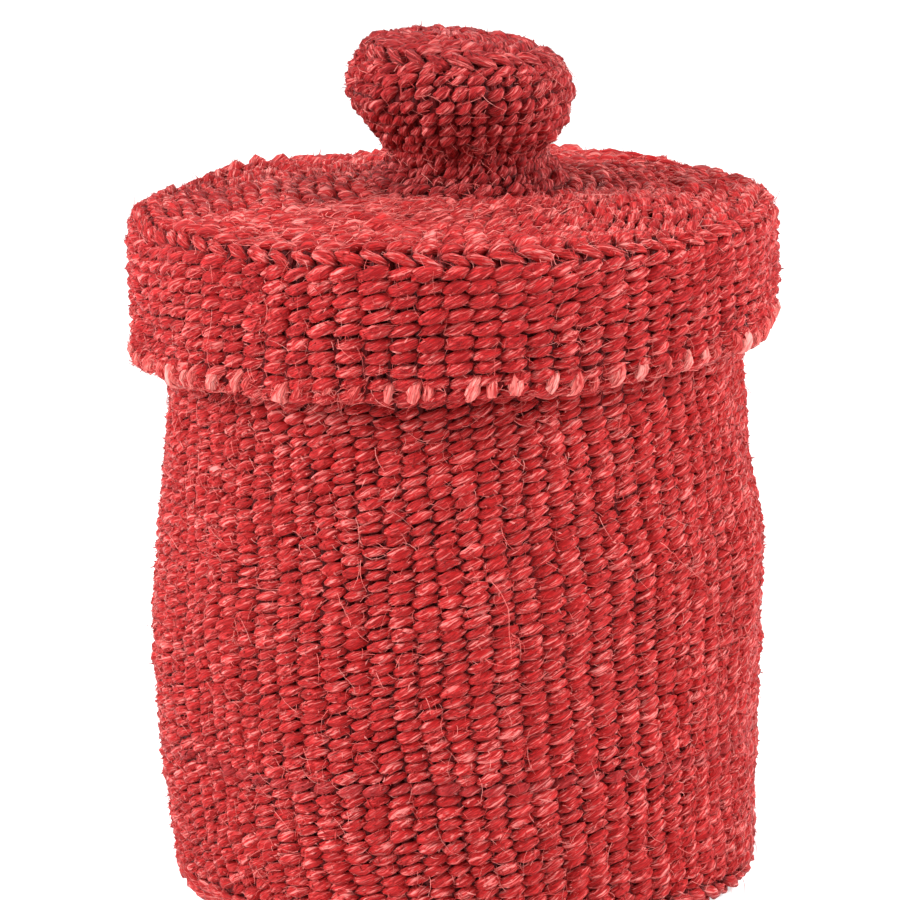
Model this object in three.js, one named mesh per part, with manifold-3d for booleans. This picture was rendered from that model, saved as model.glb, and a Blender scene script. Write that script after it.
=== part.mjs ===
// A lidded basket of twined sisal, in millimetres, +Z up, standing on z = 0 with its axis on the Z axis.
//
// Stiff upright cords, the warps, start crossed in the middle of the base, run out across it and up the wall.
// Two softer strands, the wefts, twine round each warp in turn and so lay one row of slanted stitches after another.
// The lid is made the same way from the middle of its knob outwards: crown, knob, neck, top and skirt.
// Where the work turns a corner the maker lays one row with the opposite twist, which stands out as a plaited ridge.
// Each woven panel is one solid here, because its warps and wefts can't be parted without unravelling it. Its upright
// ribs are the columns of stitches over the warps.
import * as THREE from "three";
import { mergeVertices } from "three/addons/utils/BufferGeometryUtils.js";
import Module from "manifold-3d";

const wasm = await Module();
wasm.setup();

// Driving dimensions
const WARPS = 76; // upright cords round the basket, and round the lid
const KNOB_WARPS = 38; // cords round the knob: a second one joins each as the lid's top widens
const WEAVE = 6.4; // thickness of the twined work from stitch to stitch
const KNOB_WEAVE = 5; // the same in the knob, where the cords are finer
const RIB = 0.9; // how far a column of stitches stands out over its warp
const SEAT = 0.3; // gap left where two pieces lie against each other

const WALL_FOOT_RADIUS = 72.2;
const WALL_BELLY_RADIUS = 75.6;
const WALL_BELLY_HEIGHT = 72;
const WALL_MOUTH_RADIUS = 71.3;
const WALL_MOUTH_HEIGHT = 130; // above this the wall is straight, where the lid slides over it
const BASKET_HEIGHT = 166;
const WARP_LEAN = 5; // degrees by which the wall's warps lean, to the left as they rise

const BASE_THICKNESS = 5.6;
const BASE_START_CORDS = 5; // laid side by side in the crossed start, with as many laid across them
const CORD = 3; // diameter of a warp cord
const CORD_PITCH = 2.6; // from one cord of a crossed start to the next
const CORD_LAP = 0.7; // how far crossed cords bed into each other
const WORN_FLAT = 0.5; // depth of the flat on the cords that the basket stands on
const TURN_WIDTH = 7.8; // of the row where the base turns up into the wall
const TURN_HEIGHT = 6.6;
const TURN_ROUND = 4.2; // radius of its outer corner
const RIM_HEIGHT = 3.3;
const BEVEL = 1.1; // on the rim's and the lid edge's outermost corners

const LID_PLAY = 2.5; // clearance all round between the wall's mouth and the lid's skirt
const SKIRT_DROP = 31.3; // from the top of the basket's rim down to the lid's edge
const EDGE_HEIGHT = 3.7;
const LID_LEDGE = 9.2; // width of the flat band under the lid that rests on the rim
const LID_PUFF = 1.7; // how far the lid's top swells up just inside its shoulder
const LID_CLIMB = 1.4; // how far it climbs from there to the neck
const RIDGE_RADIUS = 1.6; // radius on which the two strands of a ridge turn round each other
const RIDGE_STRAND = 1.3; // radius of one of those strands

const NECK_FOOT_RADIUS = 24;
const NECK_FOOT_HEIGHT = 6.4; // over which the foot stands upright before it draws in
const NECK_WAIST_RADIUS = 20.2;
const NECK_HEIGHT = 14.5;
const KNOB_RADIUS = 28.7;
const KNOB_HEIGHT = 21; // of the knob's side, between the neck and the ridge under the crown
const KNOB_WIDEST = 14.6; // height of its widest place above the neck
const KNOB_SHOULDER = 4.2; // how far its side draws in above that
const CROWN_THICKNESS = 4.8;
const CROWN_RISE = 3.6;
const CROWN_START_CORDS = 4; // the same at the start of the lid, in the middle of the crown

// Faces
const WALL_STEPS = 5; // straight facets up the outside of the wall
const BORE_STEPS = 2; // and up the inside
const KNOB_OPENING_STEPS = 3; // up the knob's side to its widest
const KNOB_ROUNDING_STEPS = 2; // and above that
const RIDGE_STEPS = 6; // stations in one turn of a ridge's strands
const STRAND_SIDES = 3;
const CORD_SIDES = 6;
const PATCH_SIDES = 32;

// Places worked out from them
const TAU = 2 * Math.PI;
const startReach = (cords) => ((cords - 1) * CORD_PITCH + CORD) / 2;
const baseStartRadius = startReach(BASE_START_CORDS);
const crownStartRadius = startReach(CROWN_START_CORDS);
const ridgeReach = RIDGE_RADIUS + RIDGE_STRAND;
const wallFoot = TURN_HEIGHT + SEAT;
const wallTop = BASKET_HEIGHT - RIM_HEIGHT - SEAT;
const turnInner = WALL_FOOT_RADIUS - TURN_WIDTH;
const skirtInner = WALL_MOUTH_RADIUS + LID_PLAY;
const skirtOuter = skirtInner + WEAVE;
const lidUnderside = BASKET_HEIGHT + SEAT;
const lidEdge = BASKET_HEIGHT - SKIRT_DROP;
const skirtFoot = lidEdge + EDGE_HEIGHT + SEAT;
const lidPanelRadius = skirtInner - SEAT;
const lidLedgeRadius = lidPanelRadius - LID_LEDGE;
const shoulder = lidUnderside + WEAVE;
const neckFoot = shoulder + LID_PUFF + LID_CLIMB - WEAVE;
const neckTop = neckFoot + NECK_HEIGHT;
const knobFoot = neckTop + SEAT;
const knobTop = knobFoot + KNOB_HEIGHT;
const knobRidgeRadius = KNOB_RADIUS - KNOB_SHOULDER - ridgeReach;
const knobRidgeHeight = knobTop + SEAT + ridgeReach;
const crownRadius = knobRidgeRadius - ridgeReach - SEAT;
const crownUnderside = knobTop + ridgeReach / 2;

const smooth = (t) => t * t * (3 - 2 * t);
const clamp01 = (t) => Math.min(1, Math.max(0, t));
const aroundAxis = (radius, angle, z) => [radius * Math.cos(angle), radius * Math.sin(angle), z];

// The wall's outer radius: it swells from the foot to the belly and draws in again to a straight mouth.
function wallRadius(z) {
  if (z < WALL_BELLY_HEIGHT) {
    const up = clamp01((z - wallFoot) / (WALL_BELLY_HEIGHT - wallFoot));
    return WALL_FOOT_RADIUS + (WALL_BELLY_RADIUS - WALL_FOOT_RADIUS) * Math.sin((up * Math.PI) / 2);
  }
  const up = clamp01((z - WALL_BELLY_HEIGHT) / (WALL_MOUTH_HEIGHT - WALL_BELLY_HEIGHT));
  return WALL_BELLY_RADIUS + (WALL_MOUTH_RADIUS - WALL_BELLY_RADIUS) * smooth(up);
}

// The knob's outer side: from the neck it opens like a cup to its widest, then rounds in under the ridge.
function knobSide() {
  const widest = knobFoot + KNOB_WIDEST;
  const opening = new THREE.QuadraticBezierCurve(
    new THREE.Vector2(NECK_WAIST_RADIUS, knobFoot),
    new THREE.Vector2(KNOB_RADIUS, knobFoot + KNOB_WIDEST / 2),
    new THREE.Vector2(KNOB_RADIUS, widest),
  );
  const rounding = new THREE.QuadraticBezierCurve(
    new THREE.Vector2(KNOB_RADIUS, widest),
    new THREE.Vector2(KNOB_RADIUS, (widest + knobTop) / 2),
    new THREE.Vector2(KNOB_RADIUS - KNOB_SHOULDER, knobTop),
  );
  const points = [...opening.getPoints(KNOB_OPENING_STEPS), ...rounding.getPoints(KNOB_ROUNDING_STEPS).slice(1)];
  return points.map(({ x, y }) => ({ radius: x, z: y }));
}

// A closed surface from rings of points: each ring is a closed loop, and the last ring joins the first.
function closedSurface(rings) {
  const count = rings.length;
  const size = rings[0].length;
  const at = (i, j) => (i % count) * size + (j % size);
  const faces = [];
  for (let i = 0; i < count; i++) {
    for (let j = 0; j < size; j++) {
      faces.push(at(i, j), at(i + 1, j), at(i + 1, j + 1), at(i, j), at(i + 1, j + 1), at(i, j + 1));
    }
  }
  const geometry = new THREE.BufferGeometry();
  geometry.setAttribute("position", new THREE.Float32BufferAttribute(rings.flat(2), 3));
  geometry.setIndex(faces);
  geometry.computeVertexNormals();
  return geometry;
}

// A closed profile, listed counterclockwise, carried round the axis. Between two columns of stitches each of its
// points steps back by its own groove, given in radius and height, and the columns lean as they rise.
function wovenRing(profile, columns, lean = 0) {
  const rings = [];
  for (let step = 0; step < 2 * columns; step++) {
    const between = step % 2;
    const ring = profile.map(({ radius, z, grooveIn = 0, grooveDown = 0 }) => {
      const angle = (step * TAU) / (2 * columns) + (lean * z) / WALL_MOUTH_RADIUS;
      return aroundAxis(radius - between * grooveIn, angle, z - between * grooveDown);
    });
    rings.push(ring);
  }
  return closedSurface(rings);
}

// One of a ridge's two strands, an unbroken tube that turns round the ridge's core once for every two warps.
function ridgeStrand({ radius, z, warps, phase }) {
  const stations = Math.round(warps / 2) * RIDGE_STEPS;
  const rings = [];
  for (let i = 0; i < stations; i++) {
    const angle = (i * TAU) / stations;
    const twist = phase - (i * TAU) / RIDGE_STEPS;
    const ring = [];
    for (let side = 0; side < STRAND_SIDES; side++) {
      const turn = (side * TAU) / STRAND_SIDES;
      const r = radius + RIDGE_RADIUS * Math.cos(twist) + RIDGE_STRAND * Math.cos(turn);
      const h = z + RIDGE_RADIUS * Math.sin(twist) + RIDGE_STRAND * Math.sin(turn);
      ring.push(aroundAxis(r, angle, h));
    }
    rings.push(ring);
  }
  return closedSurface(rings);
}

function solidOf(geometry) {
  const bare = geometry.clone();
  bare.deleteAttribute("normal");
  bare.deleteAttribute("uv");
  const merged = mergeVertices(bare, 1e-4);
  return new wasm.Manifold(
    new wasm.Mesh({
      numProp: 3,
      vertProperties: new Float32Array(merged.attributes.position.array),
      triVerts: new Uint32Array(merged.index.array),
    }),
  );
}

function geometryOf(solid) {
  const mesh = solid.getMesh();
  const geometry = new THREE.BufferGeometry();
  geometry.setAttribute("position", new THREE.BufferAttribute(new Float32Array(mesh.vertProperties), 3));
  geometry.setIndex(new THREE.BufferAttribute(new Uint32Array(mesh.triVerts), 1));
  geometry.computeVertexNormals();
  return geometry;
}

// A woven shell: a ribbed outside, and a smooth turned hollow cut out of it. The hollow's profile is listed upwards and
// is closed to the axis, a little past the shell at each end.
function wovenShell({ outside, hollow, columns, lean = 0 }) {
  const foot = outside[0];
  const top = outside[outside.length - 1];
  const core = Math.min(...hollow.map(({ radius }) => radius)) / 2;
  const body = wovenRing([{ radius: core, z: foot.z }, ...outside, { radius: core, z: top.z }], columns, lean);
  const first = hollow[0];
  const last = hollow[hollow.length - 1];
  const outline = [
    new THREE.Vector2(0, first.z - 1),
    new THREE.Vector2(first.radius, first.z - 1),
    ...hollow.map(({ radius, z }) => new THREE.Vector2(radius, z)),
    new THREE.Vector2(last.radius, last.z + 1),
    new THREE.Vector2(0, last.z + 1),
  ];
  const bore = new THREE.LatheGeometry(outline, columns).rotateX(Math.PI / 2);
  return geometryOf(solidOf(body).subtract(solidOf(bore)));
}

// The start of a piece: warps laid side by side with as many laid across them, trimmed to a round patch. Below foot
// they are worn flat.
function crossedCords({ count, foot }) {
  const cordRadius = CORD / 2;
  const reach = startReach(count);
  const layers = [0, 1];
  let patch = null;
  for (const layer of layers) {
    for (let i = 0; i < count; i++) {
      const off = cordRadius - reach + i * CORD_PITCH;
      const cord = new THREE.CylinderGeometry(cordRadius, cordRadius, 2 * reach, CORD_SIDES);
      if (layer) cord.translate(off, 0, 0);
      else cord.rotateZ(Math.PI / 2).translate(0, off, 0);
      cord.translate(0, 0, foot - WORN_FLAT + cordRadius + layer * (CORD - CORD_LAP));
      const solid = solidOf(cord);
      patch = patch ? patch.add(solid) : solid;
    }
  }
  const height = layers.length * CORD;
  const trim = new THREE.CylinderGeometry(reach, reach, height, PATCH_SIDES).rotateX(Math.PI / 2);
  return geometryOf(patch.intersect(solidOf(trim.translate(0, 0, foot + height / 2))));
}

// Woven panels of the basket
function baseWeave() {
  const inner = baseStartRadius + SEAT;
  const outer = turnInner - SEAT;
  return wovenRing(
    [
      { radius: inner, z: 0 },
      { radius: outer, z: 0 },
      { radius: outer, z: BASE_THICKNESS },
      { radius: inner, z: BASE_THICKNESS },
    ],
    WARPS / 2,
  );
}

function wallWeave() {
  const heights = (steps) => Array.from({ length: steps + 1 }, (_, i) => wallFoot + ((wallTop - wallFoot) * i) / steps);
  return wovenShell({
    outside: heights(WALL_STEPS).map((z) => ({ radius: wallRadius(z), z, grooveIn: RIB })),
    hollow: heights(BORE_STEPS).map((z) => ({ radius: wallRadius(z) - WEAVE, z })),
    columns: WARPS,
    lean: -Math.tan(THREE.MathUtils.degToRad(WARP_LEAN)),
  });
}

// The row on which the base turns up into the wall, with a rounded outer corner.
function baseTurnRow() {
  const diagonal = TURN_ROUND * (1 - Math.SQRT1_2);
  return wovenRing(
    [
      { radius: turnInner, z: 0 },
      { radius: WALL_FOOT_RADIUS - TURN_ROUND, z: 0 },
      { radius: WALL_FOOT_RADIUS - diagonal, z: diagonal, grooveIn: RIB },
      { radius: WALL_FOOT_RADIUS, z: TURN_HEIGHT, grooveIn: RIB },
      { radius: turnInner, z: TURN_HEIGHT },
    ],
    WARPS,
  );
}

// The last row of the wall, over which the warps' ends are turned in.
function rimRow() {
  const inner = WALL_MOUTH_RADIUS - WEAVE;
  const foot = BASKET_HEIGHT - RIM_HEIGHT;
  return wovenRing(
    [
      { radius: inner, z: foot },
      { radius: WALL_MOUTH_RADIUS, z: foot, grooveIn: RIB },
      { radius: WALL_MOUTH_RADIUS - BEVEL, z: BASKET_HEIGHT, grooveDown: RIB },
      { radius: inner + BEVEL, z: BASKET_HEIGHT, grooveDown: RIB },
    ],
    WARPS,
  );
}

// The pale ends of the lid's warps, turned over side by side along its lower edge.
function lidEdgeEnds() {
  const top = lidEdge + EDGE_HEIGHT;
  return wovenRing(
    [
      { radius: skirtInner, z: top },
      { radius: skirtInner + BEVEL, z: lidEdge, grooveDown: -RIB },
      { radius: skirtOuter - BEVEL, z: lidEdge, grooveDown: -RIB },
      { radius: skirtOuter, z: top, grooveIn: RIB },
    ],
    WARPS,
  );
}

// Woven panels of the lid
function lidSkirtWeave() {
  return wovenShell({
    outside: [
      { radius: skirtOuter, z: skirtFoot, grooveIn: RIB },
      { radius: skirtOuter, z: lidUnderside, grooveIn: RIB },
    ],
    hollow: [
      { radius: skirtInner, z: skirtFoot },
      { radius: skirtInner, z: lidUnderside },
    ],
    columns: WARPS,
  });
}

// The lid's top: swollen just inside the shoulder, then a slow climb to the foot of the neck.
function lidTopWeave() {
  const hole = NECK_FOOT_RADIUS + SEAT;
  return wovenShell({
    outside: [
      { radius: lidPanelRadius, z: lidUnderside },
      { radius: lidPanelRadius, z: shoulder, grooveDown: RIB },
      { radius: lidLedgeRadius, z: shoulder + LID_PUFF, grooveDown: RIB },
      { radius: hole, z: shoulder + LID_PUFF + LID_CLIMB, grooveDown: RIB / 2 },
    ],
    hollow: [
      { radius: lidLedgeRadius, z: lidUnderside },
      { radius: hole, z: neckFoot },
      { radius: hole, z: shoulder + LID_PUFF + LID_CLIMB },
    ],
    columns: WARPS,
  });
}

function knobNeckWeave() {
  const drawIn = neckFoot + NECK_FOOT_HEIGHT;
  const waist = (drawIn + neckTop) / 2;
  return wovenShell({
    outside: [
      { radius: NECK_FOOT_RADIUS, z: neckFoot },
      { radius: NECK_FOOT_RADIUS, z: drawIn, grooveIn: RIB },
      { radius: NECK_WAIST_RADIUS, z: waist, grooveIn: RIB },
      { radius: NECK_WAIST_RADIUS, z: neckTop, grooveIn: RIB },
    ],
    hollow: [
      { radius: NECK_FOOT_RADIUS - KNOB_WEAVE, z: neckFoot },
      { radius: NECK_WAIST_RADIUS - KNOB_WEAVE, z: waist },
      { radius: NECK_WAIST_RADIUS - KNOB_WEAVE, z: neckTop },
    ],
    columns: KNOB_WARPS,
  });
}

function knobSideWeave() {
  const outside = knobSide();
  const bends = [outside[0], outside[KNOB_OPENING_STEPS - 1], outside[KNOB_OPENING_STEPS], outside[outside.length - 1]];
  return wovenShell({
    outside: outside.map((point) => ({ ...point, grooveIn: RIB })),
    hollow: bends.map(({ radius, z }) => ({ radius: radius - KNOB_WEAVE, z })),
    columns: KNOB_WARPS,
  });
}

function knobCrownWeave() {
  const inner = crownStartRadius + SEAT;
  const top = crownUnderside + CROWN_THICKNESS;
  return wovenRing(
    [
      { radius: inner, z: crownUnderside },
      { radius: crownRadius, z: crownUnderside },
      { radius: crownRadius, z: top, grooveDown: RIB },
      { radius: (crownRadius + inner) / 2, z: top + 0.75 * CROWN_RISE, grooveDown: RIB / 2 },
      { radius: inner, z: top + CROWN_RISE },
    ],
    KNOB_WARPS,
  );
}

// Colours of the dyed sisal
const DYED_RED = { color: new THREE.Color(0.62, 0.075, 0.07), roughness: 0.75, metalness: 0 };
const DEEP_RED = { color: new THREE.Color(0.5, 0.05, 0.05), roughness: 0.75, metalness: 0 };
const PALE_ENDS = { color: new THREE.Color(0.83, 0.36, 0.32), roughness: 0.8, metalness: 0 };

function piece(name, geometry, finish) {
  const mesh = new THREE.Mesh(geometry, new THREE.MeshStandardMaterial(finish));
  mesh.name = name;
  return mesh;
}

const baseStart = { count: BASE_START_CORDS, foot: 0 };
const knobStart = { count: CROWN_START_CORDS, foot: crownUnderside + CROWN_RISE };
const lidRidge = {
  radius: lidPanelRadius + SEAT + ridgeReach,
  z: lidUnderside + SEAT + ridgeReach,
  warps: WARPS,
};
const knobRidge = { radius: knobRidgeRadius, z: knobRidgeHeight, warps: KNOB_WARPS };

const basket = new THREE.Group();
basket.add(
  piece("base_start_cords", crossedCords(baseStart), DEEP_RED),
  piece("base_weave", baseWeave(), DYED_RED),
  piece("base_turn_row", baseTurnRow(), DEEP_RED),
  piece("wall_weave", wallWeave(), DYED_RED),
  piece("rim_row", rimRow(), DEEP_RED),
);

const lid = new THREE.Group();
lid.add(
  piece("lid_edge_ends", lidEdgeEnds(), PALE_ENDS),
  piece("lid_skirt_weave", lidSkirtWeave(), DYED_RED),
  piece("lid_shoulder_strand_1", ridgeStrand({ ...lidRidge, phase: 0 }), DEEP_RED),
  piece("lid_shoulder_strand_2", ridgeStrand({ ...lidRidge, phase: Math.PI }), DEEP_RED),
  piece("lid_top_weave", lidTopWeave(), DYED_RED),
  piece("knob_neck_weave", knobNeckWeave(), DYED_RED),
  piece("knob_side_weave", knobSideWeave(), DYED_RED),
  piece("knob_ridge_strand_1", ridgeStrand({ ...knobRidge, phase: 0 }), DEEP_RED),
  piece("knob_ridge_strand_2", ridgeStrand({ ...knobRidge, phase: Math.PI }), DEEP_RED),
  piece("knob_crown_weave", knobCrownWeave(), DYED_RED),
  piece("knob_start_cords", crossedCords(knobStart), DEEP_RED),
);

const liddedBasket = new THREE.Group();
liddedBasket.add(basket, lid);

export default liddedBasket;
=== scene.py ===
"""A lidded basket of twined sisal, dyed red: two soft strands twine round each of the upright cords, row upon row."""

import math

import bpy
import numpy as np
from mathutils import Matrix, Vector


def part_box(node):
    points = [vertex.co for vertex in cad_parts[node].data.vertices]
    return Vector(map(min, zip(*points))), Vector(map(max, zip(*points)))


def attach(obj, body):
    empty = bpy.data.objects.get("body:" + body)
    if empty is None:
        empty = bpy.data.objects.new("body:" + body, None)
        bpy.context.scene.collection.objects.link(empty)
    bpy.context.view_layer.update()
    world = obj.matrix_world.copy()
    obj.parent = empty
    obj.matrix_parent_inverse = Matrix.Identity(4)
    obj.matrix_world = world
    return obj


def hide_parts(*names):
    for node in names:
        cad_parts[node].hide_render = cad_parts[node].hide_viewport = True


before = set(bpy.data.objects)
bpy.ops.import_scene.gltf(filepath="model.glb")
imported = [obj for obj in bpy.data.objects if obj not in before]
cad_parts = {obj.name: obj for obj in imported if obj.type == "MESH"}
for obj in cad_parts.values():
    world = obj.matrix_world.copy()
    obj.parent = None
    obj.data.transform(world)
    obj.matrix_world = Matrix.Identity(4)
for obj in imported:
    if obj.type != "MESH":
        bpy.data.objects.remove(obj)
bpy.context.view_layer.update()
MM = 0.001
TAU = 2 * math.pi

# Counts, and sizes in millimetres, as in the solids
WARPS = 76  # upright cords round the basket, and round the lid
KNOB_WARPS = 38  # cords round the knob
WEAVE = 6.4  # thickness of the twined work
WALL_FOOT_RADIUS = 72.2
WALL_FOOT = 6.9
WALL_BELLY_RADIUS = 75.6
WALL_BELLY_HEIGHT = 72.0
WALL_MOUTH_RADIUS = 71.3
WALL_MOUTH_HEIGHT = 130.0  # above this the wall is straight
WARP_LEAN = 5.0  # degrees by which the wall's warps lean, to the left as they rise
SKIRT_RADIUS = 80.2
START_CORD = 1.5  # radius of a cord in a crossed start
START_PITCH = 2.6  # from one such cord to the next
HALF = WEAVE / 2
LEAN = math.tan(math.radians(WARP_LEAN))

# The form of a stitch
TWIST = math.radians(70)  # about how far a strand turns about itself from one column to the next
DIVE = 0.5  # power of its path in and out: below 1 it stays out longer and dives faster
SWELL = 0.9  # power of its thickness: nearer 0 it stays full for longer
FULL = 1.08  # its thickness where it is fullest, in strands
ROW_SHIFT = 0.06  # how far a whole row may slip round, in columns
NUDGE = 0.5  # how far an uneven stitch may slip round, in columns
SLIP = 0.9  # how far it may slip up or down, in strands
FATNESS = 0.8  # how far its thickness may vary

# Steps wide enough that no two strands share a random draw or a streak
ROW_STEP = 997.0
STRAND_STEP = 100003.0
ROW_ALONG = 0.173
STRAND_ALONG = 0.071
CORD_ALONG = 0.37
YARN_STEP = 7.3
YARN_DRIFT = 0.12  # how fast a strand's tone wanders from column to column

# The lumps of a strand: waves in a metre, slow and quick, and their depth
SLOW_LUMPS = 620.0
QUICK_LUMPS = 1700.0
LUMP_DEPTH = 1.5


def wall_radius(z):
    """The wall's outer radius at a height: it swells to a belly and draws in to a straight mouth."""
    if z < WALL_BELLY_HEIGHT:
        up = min(1.0, max(0.0, (z - WALL_FOOT) / (WALL_BELLY_HEIGHT - WALL_FOOT)))
        return WALL_FOOT_RADIUS + (WALL_BELLY_RADIUS - WALL_FOOT_RADIUS) * math.sin(up * math.pi / 2)
    up = min(1.0, (z - WALL_BELLY_HEIGHT) / (WALL_MOUTH_HEIGHT - WALL_BELLY_HEIGHT))
    return WALL_BELLY_RADIUS + (WALL_MOUTH_RADIUS - WALL_BELLY_RADIUS) * up * up * (3 - 2 * up)


class Tree:
    """A node tree under construction, with short ways to add a node and link it."""

    def __init__(self, name, kind="GeometryNodeTree"):
        self.tree = bpy.data.node_groups.new(name, kind)
        self.sockets = {}

    def socket(self, name, kind, default=None, output=False):
        way = "OUTPUT" if output else "INPUT"
        made = self.tree.interface.new_socket(name=name, in_out=way, socket_type="NodeSocket" + kind)
        if default is not None:
            made.default_value = default
        self.sockets[name] = made.identifier

    def inputs(self, **defaults):
        """Adds geometry in and out, a material, and a socket for each number, whole or not as its default is."""
        self.socket("Geometry", "Geometry")
        for name, default in defaults.items():
            self.socket(name.replace("_", " "), "Int" if isinstance(default, int) else "Float", default)
        self.socket("Material", "Material")
        self.socket("Geometry", "Geometry", output=True)
        return self.add("NodeGroupInput").outputs

    def add(self, kind, values=None, **settings):
        node = self.tree.nodes.new(kind)
        for key, value in settings.items():
            setattr(node, key, value)
        for key, value in (values or {}).items():
            self.put(self.entry(node, key), value)
        return node

    def entry(self, node, key):
        """An input by its identifier, or else by its name."""
        for socket in node.inputs:
            if socket.identifier == key:
                return socket
        return node.inputs[key]

    def put(self, socket, value):
        if isinstance(value, bpy.types.NodeSocket):
            self.tree.links.new(value, socket)
        else:
            socket.default_value = value

    def math(self, operation, *values):
        node = self.tree.nodes.new("ShaderNodeMath")
        node.operation = operation
        for socket, value in zip(node.inputs, values):
            self.put(socket, value)
        return node.outputs[0]

    def sum(self, *values):
        total = values[0]
        for value in values[1:]:
            total = self.math("ADD", total, value)
        return total

    def times(self, *values):
        total = values[0]
        for value in values[1:]:
            total = self.math("MULTIPLY", total, value)
        return total

    def vector(self, operation, a, b=None, scale=None):
        node = self.tree.nodes.new("ShaderNodeVectorMath")
        node.operation = operation
        self.put(node.inputs[0], a)
        if b is not None:
            self.put(node.inputs[1], b)
        if scale is not None:
            self.put(node.inputs["Scale"], scale)
        return node.outputs["Value" if operation == "DOT_PRODUCT" else "Vector"]

    def split(self, value):
        return self.add("ShaderNodeSeparateXYZ", {"Vector": value}).outputs

    def join(self, x, y, z):
        return self.add("ShaderNodeCombineXYZ", {"X": x, "Y": y, "Z": z}).outputs[0]

    def given(self, what):
        """What each point already has: Position, Index, Normal or Tangent."""
        return self.add("GeometryNodeInput" + what).outputs[0]

    def named(self, name, kind="FLOAT"):
        return self.add("GeometryNodeInputNamedAttribute", {"Name": name}, data_type=kind).outputs["Attribute"]

    def store(self, geometry, name, value, kind="FLOAT"):
        values = {"Geometry": geometry, "Name": name, "Value": value}
        node = self.add("GeometryNodeStoreNamedAttribute", values, data_type=kind, domain="POINT")
        return node.outputs["Geometry"]

    def chance(self, low, high, key, seed):
        values = {"Min_001": low, "Max_001": high, "ID": key, "Seed": seed}
        return self.add("FunctionNodeRandomValue", values, data_type="FLOAT").outputs[1]

    def chance_way(self, key, seed):
        """A random vector in the cube from -1 to 1."""
        values = {"Min": (-1, -1, -1), "Max": (1, 1, 1), "ID": key, "Seed": seed}
        return self.add("FunctionNodeRandomValue", values, data_type="FLOAT_VECTOR").outputs[0]

    def moved(self, geometry, **where):
        """Gives each point a Position, or moves it by an Offset."""
        return self.add("GeometryNodeSetPosition", {"Geometry": geometry, **where}).outputs[0]

    def repeated(self, points, count):
        """Each point so many times over, and the number of each copy."""
        values = {"Geometry": points, "Amount": count}
        made = self.add("GeometryNodeDuplicateElements", values, domain="POINT").outputs
        return made["Geometry"], made["Duplicate Index"]

    def strung(self, points, curve, order):
        """Strings points into curves, by the attributes that say which curve and in what order."""
        values = {"Points": points, "Curve Group ID": self.named(curve, "INT"), "Weight": self.named(order)}
        return self.add("GeometryNodePointsToCurves", values).outputs[0]

    def swept(self, curve, sides, ribs=0.0):
        """Carries a section of radius 1, round or ribbed, along a curve, as thick as the curve's 'thick' says."""
        values = {"Resolution": sides, "Radius": 1.0}
        ring = self.add("GeometryNodeCurvePrimitiveCircle", values, mode="RADIUS").outputs[0]
        place = self.given("Position")
        ring = self.store(ring, "ring", place, "FLOAT_VECTOR")
        if ribs:
            index = self.given("Index")
            size = self.sum(1.0, self.times(self.math("COSINE", self.times(index, math.pi)), ribs))
            ribbed = self.vector("SCALE", place, scale=size)
            ring = self.moved(ring, Position=ribbed)
        values = {"Curve": curve, "Profile Curve": ring, "Scale": self.named("thick"), "Fill Caps": True}
        return self.add("GeometryNodeCurveToMesh", values).outputs[0]

    def lumpy(self, mesh, lumps, seed):
        """Moves a mesh in and out by an uneven amount, so that no two strands are alike."""
        place = self.vector("ADD", self.given("Position"), self.join(seed, 0.0, 0.0))
        slow = self.add("ShaderNodeTexNoise", {"Vector": place, "Scale": SLOW_LUMPS, "Detail": 1.0}).outputs[0]
        quick = self.add("ShaderNodeTexNoise", {"Vector": place, "Scale": QUICK_LUMPS, "Detail": 0.0}).outputs[0]
        lump = self.times(self.math("SUBTRACT", self.sum(slow, quick), 1.0), LUMP_DEPTH, lumps)
        return self.moved(mesh, Offset=self.vector("SCALE", self.given("Normal"), scale=lump))

    def finish(self, mesh, material):
        mesh = self.add("GeometryNodeSetShadeSmooth", {"Geometry": mesh, "Shade Smooth": True}).outputs[0]
        mesh = self.add("GeometryNodeRealizeInstances", {"Geometry": mesh}).outputs[0]
        mesh = self.add("GeometryNodeSetMaterial", {"Geometry": mesh, "Material": material}).outputs[0]
        self.add("NodeGroupOutput", {"Geometry": mesh})


def run_tree(tree, mesh, name, **values):
    """Runs a geometry tree on a mesh and gives the plain mesh that it makes."""
    carrier = bpy.data.objects.new(name + "_source", mesh)
    bpy.context.scene.collection.objects.link(carrier)
    modifier = carrier.modifiers.new("tree", "NODES")
    modifier.node_group = tree.tree
    for key, value in values.items():
        modifier[tree.sockets[key.replace("_", " ")]] = value
    graph = bpy.context.evaluated_depsgraph_get()
    made = bpy.data.meshes.new_from_object(carrier.evaluated_get(graph))
    bpy.data.objects.remove(carrier)
    made.name = name
    return made


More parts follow.
